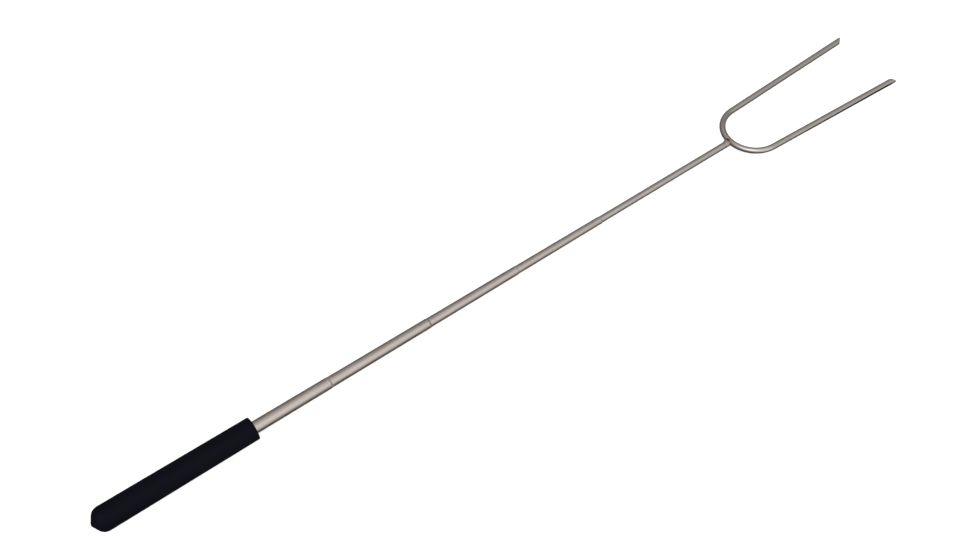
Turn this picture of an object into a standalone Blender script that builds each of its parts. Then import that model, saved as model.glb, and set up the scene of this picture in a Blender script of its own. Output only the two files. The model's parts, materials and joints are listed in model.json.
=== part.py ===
"""Telescoping marshmallow roasting fork, drawn out to full length and lying on a table.

Metres, +Z up.  +X runs along the shaft from the grip to the tine tips, and the origin is under the
middle of the fork on the table.  Every piece is first laid out on the shaft's own axis, where s is
the distance from the tip of the grip's butt, and a parent empty then lays that axis on the table.
"""
import math

import bmesh
import bpy

MM = 0.001

# Grip
GRIP_LENGTH = 106.0 * MM
GRIP_BUTT_RADIUS = 7.95 * MM
GRIP_FRONT_RADIUS = 7.42 * MM
GRIP_SHOULDER_RADIUS = 6.2 * MM
GRIP_NOSE_RADIUS = 2.5 * MM
GRIP_NOSE_ANGLE = math.radians(60.0)
GRIP_EDGE_RADIUS = 0.4 * MM
GRIP_BORE_END = 11.0 * MM
GRIP_FIT = 0.1 * MM

# Telescoping tubes.  Each one narrows towards its mouth and wedges in the mouth of the tube outside it.
TAPER = 0.0033
WALL = 0.15 * MM
LOCK_GAP = 0.03 * MM
MOUTH_ROLL = 0.08 * MM
MOUTH_ROLL_LENGTH = 0.8 * MM
REAR_CHAMFER = 0.06 * MM
OUTER_MOUTH_RADIUS = 3.8 * MM
EXPOSED = {
    "outer_tube": 53.0 * MM,
    "second_tube": 72.8 * MM,
    "third_tube": 68.6 * MM,
    "fourth_tube": 68.7 * MM,
}
MOUTH_STEP = 2.0 * MM          # each mouth stands this far out of the one outside it when collapsed
STOP_GAP = 0.3 * MM            # left between the plug's face and what stops against it

# Plug in the rear of the outer tube
OUTER_TUBE_REAR = 11.3 * MM
PLUG_FIT = 0.1 * MM
PLUG_CHAMFER = 0.9 * MM
REAR_LIP = 1.3 * MM            # the outer tube's rear edge is rolled in over the plug by this much

# Rod that carries the fork
ROD_EXPOSED = 111.5 * MM
ROD_COLLAPSED = 3.8 * MM
ROD_REAR_RADIUS = 2.33 * MM
ROD_WELD_RADIUS = 2.22 * MM
ROD_INSERTION = 3.0 * MM
TAIL_RADIUS = 1.7 * MM
TAIL_HEAD_RADIUS = 2.1 * MM
TAIL_HEAD_LENGTH = 1.2 * MM
ROD_END_CHAMFER = 0.25 * MM

# Split bush on the rod's tail
COLLAR_LENGTH = 9.4 * MM
COLLAR_BORE_RADIUS = 1.85 * MM
COLLAR_RADIUS = 2.35 * MM
COLLAR_SLOT = 0.6 * MM
COLLAR_PLAY = 0.3 * MM
COLLAR_CHAMFER = 0.2 * MM

# Fork
WIRE_RADIUS = 2.1 * MM
BEND_RADIUS = 21.1 * MM
TINE_SPLAY = math.radians(2.5)
FORK_LENGTH = 130.2 * MM       # from the crown of the bend to the tips, along the shaft's axis
TIP_CUT_ANGLE = math.radians(45.0)
WELD_LENGTH = 1.4 * MM         # from the rod's end to the wire
WELD_RADIUS = 1.5 * MM
WELD_GAP = 0.3 * MM

# Colour, metallic and roughness of each kind of surface
RUBBER = ((0.012, 0.012, 0.016), 0.0, 0.75)
TUBE_STEEL = ((0.60, 0.57, 0.53), 1.0, 0.32)
ROD_STEEL = ((0.60, 0.57, 0.53), 1.0, 0.28)
WIRE_STEEL = ((0.58, 0.56, 0.53), 1.0, 0.28)
WELD_STEEL = ((0.42, 0.36, 0.30), 1.0, 0.45)
PLASTIC = ((0.14, 0.14, 0.14), 0.0, 0.5)
BRASS = ((0.72, 0.54, 0.27), 1.0, 0.35)

# Facets
GRIP_SEGMENTS = 48
TUBE_SEGMENTS = 32
SMALL_SEGMENTS = 24
ARC_STEP = math.radians(12.0)
BEND_STEP = math.radians(6.0)
WIRE_BEVEL_RESOLUTION = 6

# Places along the axis, all worked out from the above
SHAFT_ORDER = ["outer_tube", "second_tube", "third_tube", "fourth_tube"]
MOUTH = {}
reach = GRIP_LENGTH
for tube_name in SHAFT_ORDER:
    reach += EXPOSED[tube_name]
    MOUTH[tube_name] = reach
ROD_END = MOUTH["fourth_tube"] + ROD_EXPOSED
CROWN = ROD_END + WELD_LENGTH + WIRE_RADIUS
TIP = CROWN + FORK_LENGTH
ROD_SHOULDER = MOUTH["fourth_tube"] - ROD_INSERTION
TAIL_END = ROD_SHOULDER - COLLAR_LENGTH - 2 * COLLAR_PLAY
ROD_REAR = TAIL_END - TAIL_HEAD_LENGTH
TUBE_STROKES = sum(EXPOSED[tube_name] - MOUTH_STEP for tube_name in SHAFT_ORDER[1:])
REAR_STOP = ROD_REAR - TUBE_STROKES - (ROD_EXPOSED - ROD_COLLAPSED)
PLUG_FACE = REAR_STOP - STOP_GAP

# The fork rests on the front rim of the grip and on its two tips, so its axis leans down a little.
RIM = GRIP_LENGTH - GRIP_EDGE_RADIUS
LEAN = math.atan((GRIP_FRONT_RADIUS - WIRE_RADIUS) / (TIP - RIM))
AXIS_HEIGHT = TIP * math.sin(LEAN) + WIRE_RADIUS * math.cos(LEAN)
TIP_POINT = TIP + WIRE_RADIUS / math.tan(TIP_CUT_ANGLE)


def clear_scene():
    for old in list(bpy.data.objects):
        bpy.data.objects.remove(old, do_unlink=True)
    for old in list(bpy.data.collections):
        bpy.data.collections.remove(old)


def new_collection(name):
    made = bpy.data.collections.new(name)
    bpy.context.scene.collection.children.link(made)
    return made


def finish(name, surface):
    """A piece's own material, with its colour and gloss."""
    color, metallic, roughness = surface
    made = bpy.data.materials.new(name)
    made.use_nodes = True
    shader = made.node_tree.nodes["Principled BSDF"]
    shader.inputs["Base Color"].default_value = (*color, 1.0)
    shader.inputs["Metallic"].default_value = metallic
    shader.inputs["Roughness"].default_value = roughness
    return made


def arc(centre_s, centre_r, radius, start, end):
    """Points on an arc in the (s, r) plane, angles measured from +s towards +r."""
    count = max(2, math.ceil(abs(end - start) / ARC_STEP))
    points = []
    for i in range(count + 1):
        angle = start + (end - start) * i / count
        points.append((centre_s + radius * math.cos(angle), centre_r + radius * math.sin(angle)))
    return points


def add_part(name, mesh, surface):
    """An object on the shaft's axis that shows the mesh in its own material."""
    made = bpy.data.objects.new(name, mesh)
    made.data.materials.append(finish(name + "_finish", surface))
    made.parent = shaft_axis
    parts.objects.link(made)
    return made


def turned(name, outline, closed, segments, surface):
    """A piece turned about the shaft's axis.

    The outline holds (s, r) points.  It runs back along the outer side, from the front end to the
    rear end, and a closed one comes forward again along its bore.
    """
    mesh = bpy.data.meshes.new(name)
    edges = [(i, i + 1) for i in range(len(outline) - 1)]
    if closed:
        edges.append((len(outline) - 1, 0))
    mesh.from_pydata([(s, r, 0.0) for s, r in outline], edges, [])
    made = add_part(name, mesh, surface)
    screw = made.modifiers.new("turn", "SCREW")
    screw.axis = "X"
    screw.angle = math.tau
    screw.steps = segments
    screw.render_steps = segments
    screw.use_merge_vertices = True
    screw.merge_threshold = 0.00001
    screw.use_smooth_shade = True
    return made


def cutter_box(name, size, location, turn):
    """A box that a Boolean takes away, turned about the vertical."""
    mesh = bpy.data.meshes.new(name)
    shape = bmesh.new()
    bmesh.ops.create_cube(shape, size=1.0)
    bmesh.ops.scale(shape, vec=size, verts=shape.verts)
    shape.to_mesh(mesh)
    shape.free()
    return place_cutter(name, mesh, location, (0.0, 0.0, turn))


def place_cutter(name, mesh, location, rotation):
    made = bpy.data.objects.new(name, mesh)
    made.location = location
    made.rotation_euler = rotation
    made.parent = shaft_axis
    made.hide_render = True
    made.display_type = "WIRE"
    cutters.objects.link(made)
    return made


def cut(piece, cutter):
    boolean = piece.modifiers.new(cutter.name, "BOOLEAN")
    boolean.operation = "DIFFERENCE"
    boolean.solver = "EXACT"
    boolean.object = cutter


def tube_radius(mouth_radius, mouth, s):
    """The outer radius at s of a tube that narrows towards its mouth."""
    return mouth_radius + TAPER * (mouth - s)


def grip_sleeve():
    """A moulded sleeve with a blind bore, a flat front face and a blunt pointed butt."""
    shoulder = GRIP_SHOULDER_RADIUS
    nose_turn = math.pi / 2 - GRIP_NOSE_ANGLE
    nose_end = (GRIP_NOSE_RADIUS * (1 - math.cos(nose_turn)), GRIP_NOSE_RADIUS * math.sin(nose_turn))
    shoulder_rise = GRIP_BUTT_RADIUS - shoulder * (1 - math.cos(GRIP_NOSE_ANGLE))
    cone_end = nose_end[0] + (shoulder_rise - nose_end[1]) / math.tan(GRIP_NOSE_ANGLE)
    body_start = cone_end + shoulder * math.sin(GRIP_NOSE_ANGLE)
    outer = outer_tube_radius
    outline = [
        (GRIP_BORE_END, 0.0),
        (GRIP_BORE_END, outer(GRIP_BORE_END) + GRIP_FIT),
        (GRIP_LENGTH, outer(GRIP_LENGTH) + GRIP_FIT),
    ]
    edge_r = GRIP_FRONT_RADIUS - GRIP_EDGE_RADIUS
    outline += arc(RIM, edge_r, GRIP_EDGE_RADIUS, 0.0, math.pi / 2)
    turn = math.pi / 2 + GRIP_NOSE_ANGLE
    outline += arc(body_start, GRIP_BUTT_RADIUS - shoulder, shoulder, math.pi / 2, turn)
    outline += arc(GRIP_NOSE_RADIUS, 0.0, GRIP_NOSE_RADIUS, math.pi - nose_turn, math.pi)
    outline[-1] = (0.0, 0.0)
    return turned("grip_sleeve", outline, False, GRIP_SEGMENTS, RUBBER)


def outer_tube_radius(s):
    return tube_radius(OUTER_MOUTH_RADIUS, MOUTH["outer_tube"], s)


def mouth_outline(mouth_radius, mouth):
    """The rolled-in edge of a tube's mouth, from its rim back to the full radius."""
    back = mouth - MOUTH_ROLL_LENGTH
    return [
        (mouth, mouth_radius - MOUTH_ROLL),
        (mouth - MOUTH_ROLL_LENGTH / 3, mouth_radius - MOUTH_ROLL / 3),
        (back, tube_radius(mouth_radius, mouth, back)),
    ]


def outer_tube():
    """The tube that is fixed in the grip.  Its rear edge is rolled in over the plug."""
    mouth = MOUTH["outer_tube"]
    rear_radius = outer_tube_radius(OUTER_TUBE_REAR)
    roll = REAR_LIP / 2
    outline = mouth_outline(OUTER_MOUTH_RADIUS, mouth)
    outline += [
        (OUTER_TUBE_REAR + roll, outer_tube_radius(OUTER_TUBE_REAR + roll)),
        (OUTER_TUBE_REAR, rear_radius - roll),
        (OUTER_TUBE_REAR, rear_radius - REAR_LIP),
        (OUTER_TUBE_REAR + WALL, rear_radius - REAR_LIP),
        (OUTER_TUBE_REAR + WALL, rear_radius - roll - WALL / 2),
        (OUTER_TUBE_REAR + roll + WALL / 2, rear_radius - WALL),
        (mouth, OUTER_MOUTH_RADIUS - WALL),
    ]
    return turned("outer_tube", outline, True, TUBE_SEGMENTS, TUBE_STEEL)


def inner_tube(name, mouth_radius, rear):
    """A sliding tube, open at both ends."""
    mouth = MOUTH[name]
    rear_radius = tube_radius(mouth_radius, mouth, rear)
    outline = mouth_outline(mouth_radius, mouth)
    outline += [
        (rear + REAR_CHAMFER, rear_radius),
        (rear, rear_radius - REAR_CHAMFER),
        (rear, rear_radius - WALL),
        (mouth, mouth_radius - WALL),
    ]
    return turned(name, outline, True, TUBE_SEGMENTS, TUBE_STEEL)


def end_plug():
    """A plug held in the rear of the outer tube.  The sliding pieces stop against its face."""
    rear = OUTER_TUBE_REAR + WALL + STOP_GAP
    bore = outer_tube_radius(PLUG_FACE) - WALL - PLUG_FIT
    outline = [
        (PLUG_FACE, 0.0),
        (PLUG_FACE, bore - PLUG_CHAMFER / 2),
        (PLUG_FACE - PLUG_CHAMFER / 2, bore),
        (rear + PLUG_CHAMFER, bore),
        (rear, bore - PLUG_CHAMFER),
        (rear, 0.0),
    ]
    return turned("end_plug", outline, False, TUBE_SEGMENTS, PLASTIC)


def fork_rod():
    """The solid rod, with a turned-down tail whose end is headed over to keep the bush on."""
    outline = [
        (ROD_END, 0.0),
        (ROD_END, ROD_WELD_RADIUS - ROD_END_CHAMFER),
        (ROD_END - ROD_END_CHAMFER, ROD_WELD_RADIUS),
        (MOUTH["fourth_tube"], ROD_REAR_RADIUS),
        (ROD_SHOULDER, ROD_REAR_RADIUS),
        (ROD_SHOULDER, TAIL_RADIUS),
        (TAIL_END, TAIL_RADIUS),
        (TAIL_END, TAIL_HEAD_RADIUS),
        (TAIL_END - TAIL_HEAD_LENGTH / 2, TAIL_HEAD_RADIUS),
        (ROD_REAR, TAIL_HEAD_RADIUS - TAIL_HEAD_LENGTH / 2),
        (ROD_REAR, 0.0),
    ]
    return turned("fork_rod", outline, False, TUBE_SEGMENTS, ROD_STEEL)


def rod_collar():
    """A split spring bush that rubs in the fourth tube while the rod can turn inside it."""
    front = ROD_SHOULDER - COLLAR_PLAY
    rear = front - COLLAR_LENGTH
    outline = [
        (front, COLLAR_RADIUS - COLLAR_CHAMFER),
        (front - COLLAR_CHAMFER, COLLAR_RADIUS),
        (rear + COLLAR_CHAMFER, COLLAR_RADIUS),
        (rear, COLLAR_RADIUS - COLLAR_CHAMFER),
        (rear, COLLAR_BORE_RADIUS),
        (front, COLLAR_BORE_RADIUS),
    ]
    collar = turned("rod_collar", outline, True, SMALL_SEGMENTS, BRASS)
    slot_size = (2 * COLLAR_LENGTH, COLLAR_SLOT, COLLAR_RADIUS)
    slot_place = ((front + rear) / 2, 0.0, COLLAR_BORE_RADIUS)
    cut(collar, cutter_box("collar_slot_cutter", slot_size, slot_place, 0.0))
    return collar


def weld_bead():
    """The neck of weld metal between the rod's flat end and the round wire."""
    start = ROD_END + WELD_GAP
    outline = [
        (CROWN, 0.0),
        (CROWN, WELD_RADIUS),
        (start, WELD_RADIUS),
        (start, 0.0),
    ]
    bead = turned("weld_bead", outline, False, SMALL_SEGMENTS, WELD_STEEL)
    mesh = bpy.data.meshes.new("weld_saddle_cutter")
    shape = bmesh.new()
    radius = WIRE_RADIUS + WELD_GAP
    bmesh.ops.create_cone(shape, cap_ends=True, segments=TUBE_SEGMENTS, radius1=radius, radius2=radius,
                          depth=4 * WIRE_RADIUS)
    shape.to_mesh(mesh)
    shape.free()
    cut(bead, place_cutter("weld_saddle_cutter", mesh, (CROWN, 0.0, 0.0), (math.pi / 2, 0.0, 0.0)))
    return bead


def wire_path():
    """The wire's centre line in the fork's plane, from one tip round the bend to the other."""
    centre = CROWN + BEND_RADIUS
    sweep = math.pi - 2 * TINE_SPLAY
    count = math.ceil(sweep / BEND_STEP)
    bend = []
    for i in range(count + 1):
        angle = math.pi / 2 + TINE_SPLAY + sweep * i / count
        bend.append((centre + BEND_RADIUS * math.cos(angle), BEND_RADIUS * math.sin(angle)))
    start_s, start_y = bend[0]
    run = TIP_POINT + WIRE_RADIUS - start_s
    left_end = (start_s + run, start_y + run * math.tan(TINE_SPLAY))
    right_end = (left_end[0], -left_end[1])
    return [left_end] + bend + [right_end]


def fork_prongs():
    """One wire bent to a U and cut off slantwise, with the points on the outer sides."""
    curve = bpy.data.curves.new("prong_wire", "CURVE")
    curve.dimensions = "3D"
    curve.bevel_depth = WIRE_RADIUS
    curve.bevel_resolution = WIRE_BEVEL_RESOLUTION
    curve.use_fill_caps = True
    path = wire_path()
    spline = curve.splines.new("POLY")
    spline.points.add(len(path) - 1)
    for point, (s, y) in zip(spline.points, path):
        point.co = (s, y, 0.0, 1.0)
    wire = bpy.data.objects.new("prong_wire", curve)
    cutters.objects.link(wire)
    seen = wire.evaluated_get(bpy.context.evaluated_depsgraph_get())
    mesh = bpy.data.meshes.new_from_object(seen)
    mesh.name = "fork_prongs"
    shape = bmesh.new()
    shape.from_mesh(mesh)
    bmesh.ops.remove_doubles(shape, verts=shape.verts, dist=0.00001)
    shape.to_mesh(mesh)
    shape.free()
    bpy.data.objects.remove(wire, do_unlink=True)
    mesh.materials.clear()
    prongs = add_part("fork_prongs", mesh, WIRE_STEEL)
    block = 12 * WIRE_RADIUS
    tip_y = path[0][1] - (path[0][0] - TIP) * math.tan(TINE_SPLAY)
    for side, name in ((1, "left_tip_cutter"), (-1, "right_tip_cutter")):
        turn = side * (TINE_SPLAY - math.pi / 2 + TIP_CUT_ANGLE)
        place = (TIP + block / 2 * math.cos(turn), side * tip_y + block / 2 * math.sin(turn), 0.0)
        cut(prongs, cutter_box(name, (block, block, block), place, turn))
    return prongs


clear_scene()
parts = new_collection("marshmallow_roasting_fork")
cutters = new_collection("cutters")
shaft_axis = bpy.data.objects.new("shaft_axis", None)
shaft_axis.location = (-TIP_POINT / 2, 0.0, AXIS_HEIGHT)
shaft_axis.rotation_euler = (0.0, LEAN, 0.0)
parts.objects.link(shaft_axis)

grip_sleeve()
outer_tube()
end_plug()
mouth_radius = OUTER_MOUTH_RADIUS
for position, tube_name in enumerate(SHAFT_ORDER[1:], start=1):
    mouth_radius -= WALL + LOCK_GAP + TAPER * EXPOSED[tube_name]
    collapsed_mouth = MOUTH["outer_tube"] + position * MOUTH_STEP
    inner_tube(tube_name, mouth_radius, MOUTH[tube_name] - (collapsed_mouth - REAR_STOP))
fork_rod()
rod_collar()
weld_bead()
fork_prongs()
bpy.context.view_layer.update()
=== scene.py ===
"""Looks of the telescoping roasting fork, in the CAD model's own frame (metres, +Z up)."""
import json
import math

import bmesh
import bpy
from mathutils import Matrix, Vector


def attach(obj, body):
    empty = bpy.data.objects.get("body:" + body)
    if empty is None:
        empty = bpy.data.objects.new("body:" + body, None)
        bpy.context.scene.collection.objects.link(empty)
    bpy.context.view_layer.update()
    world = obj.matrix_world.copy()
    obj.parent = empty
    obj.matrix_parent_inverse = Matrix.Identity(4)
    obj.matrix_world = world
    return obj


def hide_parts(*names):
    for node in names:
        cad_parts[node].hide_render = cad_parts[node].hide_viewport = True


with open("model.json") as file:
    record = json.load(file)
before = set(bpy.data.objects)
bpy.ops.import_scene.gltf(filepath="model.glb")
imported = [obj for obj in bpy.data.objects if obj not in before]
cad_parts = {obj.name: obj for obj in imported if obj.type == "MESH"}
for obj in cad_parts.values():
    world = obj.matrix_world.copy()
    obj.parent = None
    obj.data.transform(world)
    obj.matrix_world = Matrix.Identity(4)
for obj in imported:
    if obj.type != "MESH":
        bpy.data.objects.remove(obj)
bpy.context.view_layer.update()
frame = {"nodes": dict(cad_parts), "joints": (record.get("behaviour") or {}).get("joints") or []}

MM = 0.001

# The shaft's own axes: s runs along the axis from the butt, y is sideways, n points up from the axis.
AXIS = Vector(frame["joints"][0]["axis"]).normalized()
UP = Vector((-AXIS.z, 0.0, AXIS.x))
SIDE = Vector((0.0, 1.0, 0.0))
PIVOT = Vector(next(j["pos_m"] for j in frame["joints"] if j["type"] == "hinge"))


def along(point):
    """How far a point lies along the axis, measured from the twist's pivot."""
    return (Vector(point) - PIVOT).dot(AXIS)


def node_span(name):
    """The lowest and highest places of a node along the axis, measured from the twist's pivot."""
    reaches = [along(v.co) for v in frame["nodes"][name].data.vertices]
    return min(reaches), max(reaches)


BUTT = node_span("grip_sleeve")[0]
ORIGIN = PIVOT + AXIS * BUTT


def place(s, y, n):
    """The point in the model's frame at (s, y, n) in the shaft's axes."""
    return ORIGIN + AXIS * s + SIDE * y + UP * n


def node_ends(name):
    """The s of a node's rear and front ends."""
    low, high = node_span(name)
    return low - BUTT, high - BUTT


def node_radius(name, s, reach):
    """The widest radius of a node within reach of s."""
    best = 0.0
    for v in frame["nodes"][name].data.vertices:
        offset = v.co - ORIGIN
        if abs(offset.dot(AXIS) - s) <= reach:
            best = max(best, math.hypot(offset.dot(SIDE), offset.dot(UP)))
    return best


# ---------------------------------------------------------------- mesh helpers

def piece(name, mesh, material, body, node):
    """A visible piece that stands for a CAD node and rides on its body."""
    mesh.materials.append(material)
    mesh.shade_smooth()
    mesh.set_sharp_from_angle(angle=math.radians(38))
    made = bpy.data.objects.new(name, mesh)
    bpy.context.scene.collection.objects.link(made)
    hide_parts(node)
    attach(made, body)


def write_layers(mesh, grain, shade):
    """grain is the place in the metal's own flow, shade is how dark the metal is painted there: soot or
    weld scale, with painted shade in joints and creases.
    """
    layer = mesh.attributes.new("grain", "FLOAT_VECTOR", "POINT")
    layer.data.foreach_set("vector", [c for g in grain for c in g])
    layer = mesh.attributes.new("soot_scale_and_shade", "FLOAT", "POINT")
    layer.data.foreach_set("value", shade)


def lathe(name, outline, segments, closed=True, swell=None, soot_scale_and_shade=None):
    """A mesh turned about the shaft's axis.

    outline holds (s, r) points, from the front end back along the outer side. A closed outline comes
    forward again along the bore, and an open one starts and ends on the axis. swell(s, r, turn) adds to
    the radius, and the last argument, called with (s, turn), says how dark the surface is painted, from 0
    to 1: soot or scale, with painted shade in joints and creases.
    """
    co, grain, shade, faces, rings = [], [], [], [], []
    for s, r in outline:
        if r < 1e-9:
            rings.append([len(co)])
            co.append(place(s, 0.0, 0.0))
            grain.append((s, 0.0, 0.0))
            shade.append(soot_scale_and_shade(s, 0.0) if soot_scale_and_shade else 0.0)
            continue
        ring = []
        for k in range(segments):
            turn = math.tau * k / segments
            radius = r + (swell(s, r, turn) if swell else 0.0)
            ring.append(len(co))
            co.append(place(s, radius * math.cos(turn), radius * math.sin(turn)))
            grain.append((s, radius * math.cos(turn), radius * math.sin(turn)))
            shade.append(soot_scale_and_shade(s, turn) if soot_scale_and_shade else 0.0)
        rings.append(ring)
    pairs = list(zip(rings[:-1], rings[1:]))
    if closed:
        pairs.append((rings[-1], rings[0]))
    for a, b in pairs:
        for k in range(segments):
            m = (k + 1) % segments
            corners = [a[k % len(a)], b[k % len(b)], b[m % len(b)], a[m % len(a)]]
            face = list(dict.fromkeys(corners))
            if len(face) > 2:
                faces.append(face)
    mesh = bpy.data.meshes.new(name)
    mesh.from_pydata(co, [], faces)
    write_layers(mesh, grain, shade)
    fix = bmesh.new()
    fix.from_mesh(mesh)
    bmesh.ops.recalc_face_normals(fix, faces=fix.faces)
    fix.to_mesh(mesh)
    fix.free()
    return mesh


def arc(centre_s, centre_r, radius, start, end, count):
    """Points on an arc in the (s, r) plane, angles in degrees from +s towards +r."""
    points = []
    for i in range(count + 1):
        angle = math.radians(start + (end - start) * i / count)
        points.append((centre_s + radius * math.cos(angle), centre_r + radius * math.sin(angle)))
    return points


def between(a, b, count):
    """Points after a up to and including b on a straight line."""
    return [
        (a[0] + (b[0] - a[0]) * i / count, a[1] + (b[1] - a[1]) * i / count)
        for i in range(1, count + 1)
    ]


# ---------------------------------------------------------------- shader nodes

def new_material(name):
    made = bpy.data.materials.new(name)
    made.use_nodes = True
    return made, made.node_tree, made.node_tree.nodes["Principled BSDF"]


def add(tree, kind, values=None, **settings):
    node = tree.nodes.new(kind)
    for key, value in settings.items():
        setattr(node, key, value)
    for key, value in (values or {}).items():
        node.inputs[key].default_value = value
    return node


def link(tree, source, target):
    tree.links.new(source, target)


def grey(value):
    return (value, value, value)


def ramp(tree, source, stops, interpolation="LINEAR"):
    node = tree.nodes.new("ShaderNodeValToRGB")
    node.color_ramp.interpolation = interpolation
    elements = node.color_ramp.elements
    while len(elements) < len(stops):
        elements.new(0.5)
    for element, (position, colour) in zip(elements, stops):
        element.position = position
        element.color = (*colour, 1.0)
    link(tree, source, node.inputs["Fac"])
    return node.outputs["Color"]


def mix_colour(tree, factor, a, b, blend="MIX"):
    node = add(tree, "ShaderNodeMix", data_type="RGBA", blend_type=blend)
    for socket, value in ((node.inputs[0], factor), (node.inputs[6], a), (node.inputs[7], b)):
        if isinstance(value, bpy.types.NodeSocket):
            link(tree, value, socket)
        elif isinstance(value, (int, float)):
            socket.default_value = value
        else:
            socket.default_value = (*value, 1.0)
    return node.outputs[2]


def calculate(tree, operation, *values):
    """One Math node, on sockets or plain numbers."""
    node = add(tree, "ShaderNodeMath", operation=operation)
    for socket, value in zip(node.inputs, values):
        if isinstance(value, bpy.types.NodeSocket):
            link(tree, value, socket)
        else:
            socket.default_value = value
    return node.outputs["Value"]


def remap(tree, source, start, end, low, high):
    """Goes from low to high as source goes from start to end, and no further."""
    node = add(tree, "ShaderNodeMapRange",
               {"From Min": start, "From Max": end, "To Min": low, "To Max": high})
    link(tree, source, node.inputs["Value"])
    return node.outputs["Result"]


def scaled(tree, source, scale, location=(0.0, 0.0, 0.0)):
    node = add(tree, "ShaderNodeMapping")
    node.inputs["Scale"].default_value = scale
    node.inputs["Location"].default_value = location
    link(tree, source, node.inputs["Vector"])
    return node.outputs["Vector"]


def noise(tree, vector, scale, detail=3.0, roughness=0.55):
    node = add(tree, "ShaderNodeTexNoise", {"Scale": scale, "Detail": detail, "Roughness": roughness})
    link(tree, vector, node.inputs["Vector"])
    return node.outputs["Fac"]


def layer(tree, name, output):
    """One of the layers that write_layers stores on a mesh."""
    node = add(tree, "ShaderNodeAttribute", attribute_name=name, attribute_type="GEOMETRY")
    return node.outputs[output]


def object_place(tree):
    return add(tree, "ShaderNodeTexCoord").outputs["Object"]


def bump(tree, shader, height, strength, distance):
    node = add(tree, "ShaderNodeBump", {"Strength": strength, "Distance": distance})
    link(tree, height, node.inputs["Height"])
    link(tree, node.outputs["Normal"], shader.inputs["Normal"])


# ---------------------------------------------------------------- materials

# The soot colour below also carries painted shade in the joints' gaps.
SOOT_AND_SHADE = (0.085, 0.074, 0.066)
SOOT_AND_SHADE_METALLIC = 0.1
DUST = (0.006, 0.006, 0.011)


def heat_tint(tree, weld, marks):
    """Temper colours that fade with the distance from the weld, with an uneven edge."""
    gap = add(tree, "ShaderNodeVectorMath", operation="DISTANCE")
    link(tree, object_place(tree), gap.inputs[0])
    gap.inputs[1].default_value = weld
    stretched = calculate(tree, "MULTIPLY", gap.outputs["Value"], 120.0)
    uneven = calculate(tree, "MULTIPLY", marks, 0.16)
    return ramp(tree, calculate(tree, "ADD", stretched, uneven), [
        (0.12, (0.40, 0.32, 0.28)),
        (0.25, (0.55, 0.47, 0.42)),
        (0.36, (0.80, 0.76, 0.74)),
        (0.48, (0.94, 0.88, 0.80)),
        (0.66, (1.0, 0.985, 0.96)),
        (1.0, grey(1.0)),
    ])


def steel(name, dark, light, rough_low, rough_high, weld=None):
    """Satin drawn metal: fine lines along the draw, faint handling marks, soot and painted shade at the
    mouths.

    weld is the place of a weld whose heat has tinted the metal around it.
    """
    made, tree, shader = new_material(name)
    grain = layer(tree, "grain", "Vector")
    soot_scale_and_shade = layer(tree, "soot_scale_and_shade", "Fac")
    lines = noise(tree, scaled(tree, grain, (5.0, 3200.0, 3200.0)), 1.0)
    bands = noise(tree, scaled(tree, grain, (3.0, 700.0, 700.0), (3.1, 0.7, 1.9)), 1.0, 2.0)
    marks = noise(tree, scaled(tree, grain, (90.0, 160.0, 160.0), (7.0, 2.0, 5.0)), 1.0)
    tone = ramp(tree, lines, [(0.25, dark), (0.75, light)])
    cloud = ramp(tree, marks, [(0.35, grey(0.90)), (0.62, grey(1.0))])
    colour = mix_colour(tree, 0.55, tone, cloud, "MULTIPLY")
    # Soot and painted joint shade darken the colour where the layer says.
    colour = mix_colour(tree, soot_scale_and_shade, colour, SOOT_AND_SHADE)
    if weld:
        colour = mix_colour(tree, 1.0, colour, heat_tint(tree, weld, marks), "MULTIPLY")
    link(tree, colour, shader.inputs["Base Color"])
    # The same soot and painted shade take the metal's shine away.
    link(tree, remap(tree, soot_scale_and_shade, 0.0, 1.0, 1.0, SOOT_AND_SHADE_METALLIC), shader.inputs["Metallic"])
    worn = mix_colour(tree, 0.5, lines, marks)
    link(tree, remap(tree, worn, 0.3, 0.7, rough_low, rough_high), shader.inputs["Roughness"])
    bump(tree, shader, mix_colour(tree, 0.35, lines, bands), 0.2, 0.01 * MM)
    return made


def rubber(name):
    """Matt black moulded grip: a fine spark-eroded grain, faint dust and slightly polished patches."""
    made, tree, shader = new_material(name)
    spot = object_place(tree)
    fine = noise(tree, spot, 5200.0, 2.0, 0.6)
    cells = add(tree, "ShaderNodeTexVoronoi", {"Scale": 2600.0}, feature="F1")
    link(tree, spot, cells.inputs["Vector"])
    broad = noise(tree, spot, 55.0, 4.0, 0.6)
    tone = ramp(tree, broad, [(0.35, (0.0005, 0.0006, 0.0032)), (0.68, (0.0016, 0.0018, 0.0056))])
    dusty = ramp(tree, fine, [(0.60, grey(0.0)), (0.80, grey(1.0))])
    link(tree, mix_colour(tree, dusty, tone, DUST), shader.inputs["Base Color"])
    link(tree, remap(tree, broad, 0.3, 0.7, 0.62, 0.82), shader.inputs["Roughness"])
    shader.inputs["Specular IOR Level"].default_value = 0.12
    bump(tree, shader, mix_colour(tree, 0.5, fine, cells.outputs["Distance"]), 0.8, 0.08 * MM)
    return made


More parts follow.
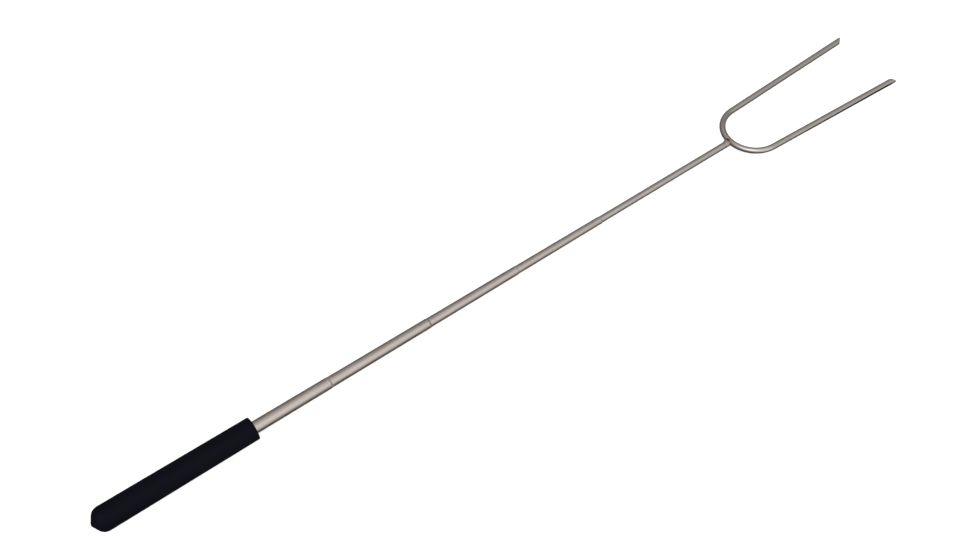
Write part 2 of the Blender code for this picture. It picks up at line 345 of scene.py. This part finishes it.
def weld_metal(name):
    """Weld metal: uneven bright steel with dark brown scale and painted crease shade where it meets the
    wire.
    """
    made, tree, shader = new_material(name)
    lumps = noise(tree, object_place(tree), 900.0, 4.0, 0.65)
    tone = ramp(tree, lumps, [
        (0.28, (0.42, 0.38, 0.34)),
        (0.50, (0.58, 0.53, 0.48)),
        (0.70, (0.68, 0.63, 0.58)),
    ])
    # This layer paints dark brown scale together with the shade of the crease against the wire.
    scale = ramp(tree, layer(tree, "soot_scale_and_shade", "Fac"), [
        (0.0, grey(1.0)),
        (0.5, (0.62, 0.55, 0.50)),
        (1.0, (0.20, 0.15, 0.13)),
    ])
    link(tree, mix_colour(tree, 1.0, tone, scale, "MULTIPLY"), shader.inputs["Base Color"])
    shader.inputs["Metallic"].default_value = 1.0
    rough = ramp(tree, lumps, [(0.3, grey(0.62)), (0.7, grey(0.36))])
    link(tree, rough, shader.inputs["Roughness"])
    bump(tree, shader, lumps, 0.6, 0.1 * MM)
    return made


def inner_finish(name, dark, light, metallic, rough_low, rough_high, scale):
    """A plain finish with mottling and a light grain, for the pieces inside the tubes."""
    made, tree, shader = new_material(name)
    fleck = noise(tree, scaled(tree, object_place(tree), scale), 1.0, 4.0, 0.6)
    link(tree, ramp(tree, fleck, [(0.32, dark), (0.68, light)]), shader.inputs["Base Color"])
    shader.inputs["Metallic"].default_value = metallic
    rough = ramp(tree, fleck, [(0.3, grey(rough_low)), (0.7, grey(rough_high))])
    link(tree, rough, shader.inputs["Roughness"])
    bump(tree, shader, fleck, 0.3, 0.04 * MM)
    return made


# ---------------------------------------------------------------- grip

# The tubes' radius grows by this much for each metre towards the butt.
TAPER = 0.0033
WALL = 0.15 * MM

# A mouth closes in over its last stretch by its drop, and turns over a thin lip.
MOUTH_LENGTH = 0.8 * MM
MOUTH_DROP = 0.064 * MM
LIP = 0.045 * MM

GRIP_FRONT = node_ends("grip_sleeve")[1]
GRIP_FRONT_RADIUS = node_radius("grip_sleeve", GRIP_FRONT, 1.0 * MM)
GRIP_BUTT_RADIUS = node_radius("grip_sleeve", 0.0, 30.0 * MM)
GRIP_BORE_END = 11.0 * MM
GRIP_BORE_GAP = 0.1 * MM
OUTER_MOUTH = node_ends("outer_tube")[1]
OUTER_MOUTH_RADIUS = node_radius("outer_tube", OUTER_MOUTH, 1.0 * MM) - TAPER * MOUTH_LENGTH


def bore_radius(s):
    """The grip's bore, which follows the outer tube's taper."""
    return OUTER_MOUTH_RADIUS + TAPER * (OUTER_MOUTH - s) + GRIP_BORE_GAP


def parting_line(s, r, turn):
    """The thin flash where the two mould halves met, on both sides of the grip."""
    bore_limit, half_width, height = 5.5 * MM, 0.02, 0.06 * MM
    on_line = min(abs(turn), abs(turn - math.pi), abs(turn - math.tau)) < half_width
    return height if r > bore_limit and on_line else 0.0


def build_grip():
    nose_radius = 2.5 * MM
    cone = 60.0
    shoulder = 6.2 * MM
    tangent = 90.0 - cone
    nose_end_s = nose_radius * (1 - math.cos(math.radians(tangent)))
    nose_end_r = nose_radius * math.sin(math.radians(tangent))
    rise = GRIP_BUTT_RADIUS - shoulder * (1 - math.cos(math.radians(cone)))
    cone_end_s = nose_end_s + (rise - nose_end_r) / math.tan(math.radians(cone))
    body_start = cone_end_s + shoulder * math.sin(math.radians(cone))
    edge = 0.4 * MM
    lead = 0.35 * MM
    front = bore_radius(GRIP_FRONT)
    outline = [(GRIP_BORE_END, 0.0), (GRIP_BORE_END, bore_radius(GRIP_BORE_END))]
    outline += between(outline[-1], (GRIP_FRONT - lead, front), 24)
    outline += arc(GRIP_FRONT - lead, front + lead, lead, -90.0, 0.0, 5)[1:]
    outline += arc(GRIP_FRONT - edge, GRIP_FRONT_RADIUS - edge, edge, 0.0, 90.0, 8)
    outline += between(outline[-1], (body_start, GRIP_BUTT_RADIUS), 70)
    outline += arc(body_start, GRIP_BUTT_RADIUS - shoulder, shoulder, 90.0, 90.0 + cone, 22)[1:]
    outline += arc(nose_radius, 0.0, nose_radius, 180.0 - tangent, 180.0, 8)
    outline[-1] = (0.0, 0.0)
    mesh = lathe("grip", outline, 128, closed=False, swell=parting_line)
    piece("grip", mesh, rubber("grip_rubber_look"), "handle", "grip_sleeve")


# ---------------------------------------------------------------- tubes

# How dark the soot and painted shade at each tube's mouth are.
MOUTH_SOOT_AND_SHADE = {"outer_tube": 0.9, "second_tube": 1.0, "third_tube": 0.5, "fourth_tube": 0.8}

# The rings are closer together within this of a joint, to carry its soot and painted shade.
FINE_RINGS = 1.2 * MM


def joint_soot_and_shade(*places):
    """Soot and grease with painted shade in the joint's gap, at each (s, full reach, fade, strength)
    place along the shaft.
    """
    def shade(s, turn):
        level = 0.0
        for middle, reach, fade, strength in places:
            level = max(level, strength * min(1.0, 1.0 - (abs(s - middle) - reach) / fade))
        return level
    return shade


def own_rim(node):
    """Where this tube's mouth ends, with soot and painted shade on its lip."""
    return node_ends(node)[1], 0.35 * MM, 0.35 * MM, MOUTH_SOOT_AND_SHADE[node]


def ring_under(node):
    """Where a smaller tube or the rod comes out of this one, with soot and painted shade on it at the
    mouth.
    """
    return node_ends(node)[1], 0.18 * MM, 0.38 * MM, MOUTH_SOOT_AND_SHADE[node]


def mouth_points(radius, mouth, inner):
    """The rolled rim of a tube's mouth: it closes in a little and turns over a thin rounded lip."""
    steps = 6
    points = []
    for i in range(steps + 1):
        t = i / steps
        s = mouth - MOUTH_LENGTH + (MOUTH_LENGTH - LIP) * t
        points.append((s, radius + TAPER * (1 - t) * MOUTH_LENGTH - MOUTH_DROP * t ** 2.2))
    points.reverse()
    end_r = points[0][1] - LIP
    rim = [(mouth, end_r - 0.02 * MM), (mouth - 0.3 * LIP, end_r + 0.6 * LIP)]
    return [(mouth - 0.35 * LIP, inner)] + rim + points


def build_tube(node, body, outside, material):
    """A tapered tube with a rolled mouth. outside is the tube that it slides in, if any."""
    rear, mouth = node_ends(node)
    radius = node_radius(node, mouth, 1.0 * MM) - TAPER * MOUTH_LENGTH
    rear_radius = radius + TAPER * (mouth - rear)
    outline = mouth_points(radius, mouth, radius - WALL)
    # Soot and painted shade at this tube's mouth, and where it leaves the tube outside it.
    soot_and_shade_places = [own_rim(node)]
    if outside:
        chamfer = 0.06 * MM
        joint = node_ends(outside)[1]
        for s, count in ((joint + FINE_RINGS, 30), (joint - FINE_RINGS, 16)):
            outline += between(outline[-1], (s, radius + TAPER * (mouth - s)), count)
        outline += between(outline[-1], (rear + chamfer, rear_radius), 20)
        outline += [(rear, rear_radius - chamfer), (rear, rear_radius - WALL)]
        soot_and_shade_places.append(ring_under(outside))
    else:
        roll, hole = 0.65 * MM, 1.3 * MM
        bend = rear + roll
        outline += between(outline[-1], (bend, rear_radius - TAPER * roll), 60)
        outline += arc(bend, rear_radius - roll, roll, 90.0, 180.0, 6)[1:]
        outline += [(rear, rear_radius - hole), (rear + WALL, rear_radius - hole)]
        outline += arc(bend, rear_radius - roll, roll - WALL, 180.0, 90.0, 6)
    outline += between(outline[-1], (mouth - 0.35 * LIP, radius - WALL), 20)[:-1]
    mesh = lathe(node + "_look", outline, 96, soot_scale_and_shade=joint_soot_and_shade(*soot_and_shade_places))
    piece(node + "_look", mesh, material, body, node)


# ---------------------------------------------------------------- rod, weld and wire

WIRE_RADIUS = 2.1 * MM
BEND_RADIUS = 21.1 * MM
SPLAY = math.radians(2.5)
ROD_REAR, ROD_END = node_ends("fork_rod")
ROD_OUT = 111.5 * MM    # how far the rod stands out of the fourth tube
CROWN = ROD_END + 1.4 * MM + WIRE_RADIUS
TIP = node_ends("fork_prongs")[1] - WIRE_RADIUS


def build_rod(material):
    mouth = ROD_END - ROD_OUT
    rod_radius = node_radius("fork_rod", ROD_END, 0.6 * MM)
    rear_radius = node_radius("fork_rod", mouth, 0.6 * MM)
    shoulder = mouth - 3.0 * MM
    tail, head = 1.7 * MM, 2.1 * MM
    tail_end = ROD_REAR + 1.2 * MM
    edge, chamfer, head_edge = 0.25 * MM, 0.1 * MM, 0.6 * MM
    outline = [(ROD_END, 0.0)]
    outline += arc(ROD_END - edge, rod_radius - edge, edge, 0.0, 90.0, 5)
    outline += between(outline[-1], (mouth + FINE_RINGS, rear_radius), 60)
    outline += between(outline[-1], (mouth, rear_radius), 8)
    outline += between(outline[-1], (shoulder + chamfer, rear_radius), 4)
    outline += [(shoulder, rear_radius - chamfer), (shoulder, tail), (tail_end, tail), (tail_end, head)]
    outline += arc(ROD_REAR + head_edge, head - head_edge, head_edge, 90.0, 180.0, 6)
    outline += [(ROD_REAR, 0.0)]
    # Soot and painted shade on the rod where it leaves the fourth tube.
    mesh = lathe("rod", outline, 96, closed=False, soot_scale_and_shade=joint_soot_and_shade(ring_under("fourth_tube")))
    piece("rod", mesh, material, "fork", "fork_rod")


def build_weld(material):
    """Weld metal that flares from the rod's end on to the wire, heaped towards one side."""
    start, reach = ROD_END - 2.4 * MM, CROWN - 0.9 * MM
    neck_radius = 2.11 * MM
    heap_turn, heap_height = 0.3, 1.15 * MM
    gap_turn, gap_width = 2.1, 0.42
    scale_and_shade_start, scale_and_shade_rise = 0.45 * MM, 0.6 * MM
    steps = 30

    def flare(s, r, turn):
        t = (s - start) / (reach - start)
        spread = t * t * (3 - 2 * t)
        heap = heap_height * max(0.0, math.cos(turn - heap_turn)) ** 1.5
        lumps = 0.025 * math.sin(3 * turn + 1.0 + s * 900) + 0.018 * math.sin(7 * turn + 2.3)
        waves = math.sin(5 * turn + 0.7) + 0.6 * math.sin(11 * turn + 2.0)
        ragged_start = 0.045 * MM * waves * max(0.0, 1 - 2.5 * t)
        return spread * (heap + r * lumps) + ragged_start

    # Scale and painted crease shade rise towards the wire, except across a narrow band at gap_turn.
    def scale(s, turn):
        gap = math.exp(-((turn - gap_turn) / gap_width) ** 2)
        rise = (s - ROD_END - scale_and_shade_start) / scale_and_shade_rise
        return max(0.0, min(1.0, rise)) * (1.0 - 0.85 * gap)

    ring = []
    for i in range(steps + 1):
        t = i / steps
        swelling = 0.17 * MM * min(1.0, 5 * t) - 0.42 * MM * max(0.0, (t - 0.5) / 0.5) ** 1.6
        ring.append((start + (reach - start) * t, neck_radius + swelling))
    outline = [(reach, 0.0)] + ring[::-1] + [(start, 0.0)]
    mesh = lathe("weld", outline, 64, closed=False, swell=flare, soot_scale_and_shade=scale)
    piece("weld", mesh, material, "fork", "weld_bead")


def wire_path():
    """Stations (s, y, heading, length so far) on the wire's centre line, from tip to tip."""
    centre = CROWN + BEND_RADIUS
    sweep = math.pi - 2 * SPLAY
    bend_steps, straight_steps = 90, 60
    bend = []
    for i in range(bend_steps + 1):
        angle = math.pi / 2 + SPLAY + sweep * i / bend_steps
        s, y = centre + BEND_RADIUS * math.cos(angle), BEND_RADIUS * math.sin(angle)
        bend.append((s, y, angle + math.pi / 2))
    s0, y0, _ = bend[0]
    run = TIP + 3 * WIRE_RADIUS - s0
    first = []
    for i in range(straight_steps):
        t = 1 - i / straight_steps
        first.append((s0 + run * t, y0 + run * t * math.tan(SPLAY), math.pi + SPLAY))
    last = [(s, -y, -SPLAY) for s, y, _ in reversed(first)]
    stations = first + bend + last
    out, total = [], 0.0
    for i, (s, y, heading) in enumerate(stations):
        if i:
            total += math.hypot(s - stations[i - 1][0], y - stations[i - 1][1])
        out.append((s, y, heading, total))
    return out


def on_side(element, side):
    """Whether all of a mesh element is on one tine's side of the fork."""
    verts = [element] if isinstance(element, bmesh.types.BMVert) else element.verts
    return all(v.co.y * side > 5.0 * MM for v in verts)


def cut_tips(shape, tip_y):
    """Cuts both tines to slant points, closes the cuts and softens their edges."""
    slant = math.pi / 4
    for side in (1, -1):
        turn = side * (SPLAY - slant)
        normal = AXIS * math.cos(turn) + SIDE * math.sin(turn)
        geometry = shape.verts[:] + shape.edges[:] + shape.faces[:]
        near = [g for g in geometry if on_side(g, side)]
        bmesh.ops.bisect_plane(shape, geom=near, plane_co=place(TIP, side * tip_y, 0.0), plane_no=normal,
                               clear_outer=True, dist=1e-7)
    rims = [e for e in shape.edges if len(e.link_faces) == 1]
    bmesh.ops.edgenet_fill(shape, edges=rims)
    caps = [f for f in shape.faces if len(f.verts) > 12]
    rim_edges = list({e for f in caps for e in f.edges})
    bmesh.ops.bevel(shape, geom=rim_edges, offset=0.1 * MM, segments=2, profile=0.5, affect="EDGES")
    bmesh.ops.recalc_face_normals(shape, faces=shape.faces)


def build_wire(material):
    segments = 40
    co, grain, faces = [], [], []
    stations = wire_path()
    for s, y, heading, total in stations:
        across = Vector((-math.sin(heading), math.cos(heading)))
        for k in range(segments):
            turn = math.tau * k / segments
            out, up = WIRE_RADIUS * math.cos(turn), WIRE_RADIUS * math.sin(turn)
            co.append(place(s + across.x * out, y + across.y * out, up))
            grain.append((total, out, up))
    for i in range(len(stations) - 1):
        for k in range(segments):
            m = (k + 1) % segments
            a, b = i * segments, (i + 1) * segments
            faces.append([a + k, a + m, b + m, b + k])
    mesh = bpy.data.meshes.new("fork_wire")
    mesh.from_pydata(co, [], faces)
    write_layers(mesh, grain, [0.0] * len(co))
    shape = bmesh.new()
    shape.from_mesh(mesh)
    cut_tips(shape, stations[0][1] - (stations[0][0] - TIP) * math.tan(SPLAY))
    shape.to_mesh(mesh)
    shape.free()
    piece("fork_wire", mesh, material, "fork", "fork_prongs")


# ---------------------------------------------------------------- pieces

WELD_PLACE = tuple(place(ROD_END + 0.8 * MM, 0.0, 0.0))
TUBE_DARK, TUBE_LIGHT = (0.58, 0.527, 0.478), (0.70, 0.638, 0.587)
FORK_DARK, FORK_LIGHT = (0.58, 0.540, 0.502), (0.70, 0.656, 0.614)
BRASS_DARK, BRASS_LIGHT = (0.58, 0.41, 0.17), (0.78, 0.60, 0.30)
PLASTIC_DARK, PLASTIC_LIGHT = (0.10, 0.10, 0.105), (0.17, 0.17, 0.175)

tube_look = steel("tube_steel_look", TUBE_DARK, TUBE_LIGHT, 0.22, 0.36)
fork_look = steel("fork_steel_look", FORK_DARK, FORK_LIGHT, 0.16, 0.28, WELD_PLACE)
collar_look = inner_finish("collar_look", BRASS_DARK, BRASS_LIGHT, 1.0, 0.28, 0.42, (400.0, 900.0, 900.0))
plug_look = inner_finish("plug_look", PLASTIC_DARK, PLASTIC_LIGHT, 0.0, 0.42, 0.60, grey(900.0))

build_grip()
build_tube("outer_tube", "handle", None, tube_look)
build_tube("second_tube", "second_section", "outer_tube", tube_look)
build_tube("third_tube", "third_section", "second_tube", tube_look)
build_tube("fourth_tube", "fourth_section", "third_tube", tube_look)
build_rod(fork_look)
build_weld(weld_metal("weld_look"))
build_wire(fork_look)

# These two CAD nodes stay, with better materials.
for kept_node, look in (("rod_collar", collar_look), ("end_plug", plug_look)):
    materials = frame["nodes"][kept_node].data.materials
    materials.clear()
    materials.append(look)


# ---------------------------------------------------------------- floor, light and camera

def stage_sheet(name, corners, tone):
    """A flat matt sheet that belongs to the stage, not to the object."""
    mesh = bpy.data.meshes.new(name)
    mesh.from_pydata(corners, [], [(0, 1, 2, 3)])
    made, _, shader = new_material(name + "_look")
    shader.inputs["Base Color"].default_value = (*grey(tone), 1.0)
    shader.inputs["Roughness"].default_value = 1.0
    shader.inputs["Specular IOR Level"].default_value = 0.0
    mesh.materials.append(made)
    obj = bpy.data.objects.new(name, mesh)
    bpy.context.scene.collection.objects.link(obj)
    return obj


def floor():
    half = 6.0
    corners = [(-half, -half, 0.0), (half, -half, 0.0), (half, half, 0.0), (-half, half, 0.0)]
    stage_sheet("floor", corners, 0.93).visible_glossy = False


def contact_shadow_card():
    """A black card beside the near tine, rising away from it, that only reflections see: painted shade
    standing in for the tine's contact shadow.

    It gives the tine the black lower edge that the photo's one has.
    """
    near, far = place(CROWN + BEND_RADIUS, -BEND_RADIUS, 0.0), place(TIP, -BEND_RADIUS, 0.0)
    drift = (TIP - CROWN - BEND_RADIUS) * math.tan(SPLAY)
    lift, raised, inner, width = 0.3 * MM, 4.5 * MM, 1.0 * MM, 12.0 * MM
    near_width = width * 0.4
    corners = [
        (near.x, near.y + inner, lift), (near.x, near.y - near_width, lift),
        (far.x, far.y - drift - width, raised), (far.x, far.y - drift + inner, lift),
    ]
    # A near-black sheet: a painted contact shadow, seen only in reflections.
    card = stage_sheet("contact_shadow_card", corners, 0.01)
    card.visible_camera = False
    card.visible_diffuse = False
    card.visible_shadow = False


def fill_light(strength):
    """An even light from above that lifts the floor to white without a second shadow."""
    data = bpy.data.lights.new("fill", "SUN")
    data.energy = strength
    data.angle = math.radians(60)
    data.use_shadow = False
    obj = bpy.data.objects.new("fill", data)
    obj.rotation_euler = (math.radians(12), 0.0, 0.0)
    obj.visible_glossy = False
    bpy.context.scene.collection.objects.link(obj)


# Where the studio's lights are, as directions from the object.
FRONT_WALL = (0.0, -0.766, 0.643)
LAMP = (-0.53, -0.36, 0.768)
LEFT_GLOW = (-0.55, 0.45, 0.704)


def facing(tree, direction, light):
    """The cosine of the angle between a direction and a light's."""
    node = add(tree, "ShaderNodeVectorMath", operation="DOT_PRODUCT")
    link(tree, direction, node.inputs[0])
    node.inputs[1].default_value = light
    return node.outputs["Value"]


def surroundings():
    """A studio with one broad bright side in front of the object, dimmer behind it and at its ends."""
    world = bpy.data.worlds.new("studio")
    bpy.context.scene.world = world
    world.use_nodes = True
    tree = world.node_tree
    direction = add(tree, "ShaderNodeTexCoord").outputs["Generated"]
    front = remap(tree, facing(tree, direction, FRONT_WALL), -1.0, 1.0, 0.0, 1.0)
    glow = ramp(tree, front, [
        (0.0, (0.16, 0.147, 0.137)),
        (0.25, (0.235, 0.216, 0.200)),
        (0.46, (0.345, 0.320, 0.299)),
        (0.56, (0.41, 0.390, 0.372)),
        (0.78, (0.60, 0.592, 0.582)),
        (0.90, (0.81, 0.808, 0.80)),
        (1.0, grey(0.98)),
    ], "EASE")

    split = add(tree, "ShaderNodeSeparateXYZ")
    link(tree, direction, split.inputs["Vector"])
    ends = remap(tree, calculate(tree, "ABSOLUTE", split.outputs["X"]), 0.3, 0.75, 1.0, 0.5)
    below = remap(tree, split.outputs["Z"], -0.5, -0.08, 0.35, 1.0)
    dimmed = add(tree, "ShaderNodeMix", {2: 1.0})
    link(tree, remap(tree, front, 0.5, 0.8, 0.35, 1.0), dimmed.inputs[0])
    link(tree, ends, dimmed.inputs[3])
    wall = add(tree, "ShaderNodeVectorMath", operation="SCALE")
    link(tree, glow, wall.inputs[0])
    link(tree, calculate(tree, "MULTIPLY", dimmed.outputs[0], below), wall.inputs["Scale"])

    lamp = remap(tree, facing(tree, direction, LAMP), 0.84, 0.97, 0.0, 1.1)
    left = remap(tree, facing(tree, direction, LEFT_GLOW), 0.6, 0.98, 0.0, 0.09)
    total = add(tree, "ShaderNodeVectorMath", operation="ADD")
    link(tree, wall.outputs["Vector"], total.inputs[0])
    link(tree, calculate(tree, "ADD", lamp, left), total.inputs[1])
    link(tree, total.outputs["Vector"], tree.nodes["Background"].inputs["Color"])


# The camera was fitted to the photo once, and is fixed here in the model's frame.
CAMERA_PLACE = (-0.31083, -0.417, 0.69771)
CAMERA_RIGHT = Vector((0.806717, -0.590272, -0.028044))
CAMERA_AHEAD = Vector((0.33277, 0.492986, -0.803883))


def photo_camera():
    data = bpy.data.cameras.new("camera")
    data.sensor_width = 36.0
    data.lens = 49.577
    data.clip_start = 0.01
    camera = bpy.data.objects.new("camera", data)
    top = CAMERA_RIGHT.cross(CAMERA_AHEAD)
    turn = Matrix((CAMERA_RIGHT, top, -CAMERA_AHEAD)).transposed()
    camera.matrix_world = Matrix.Translation(CAMERA_PLACE) @ turn.to_4x4()
    bpy.context.scene.collection.objects.link(camera)
    bpy.context.scene.camera = camera


floor()
contact_shadow_card()
surroundings()
fill_light(2.55)
photo_camera()
bpy.context.scene.view_settings.view_transform = "Standard"
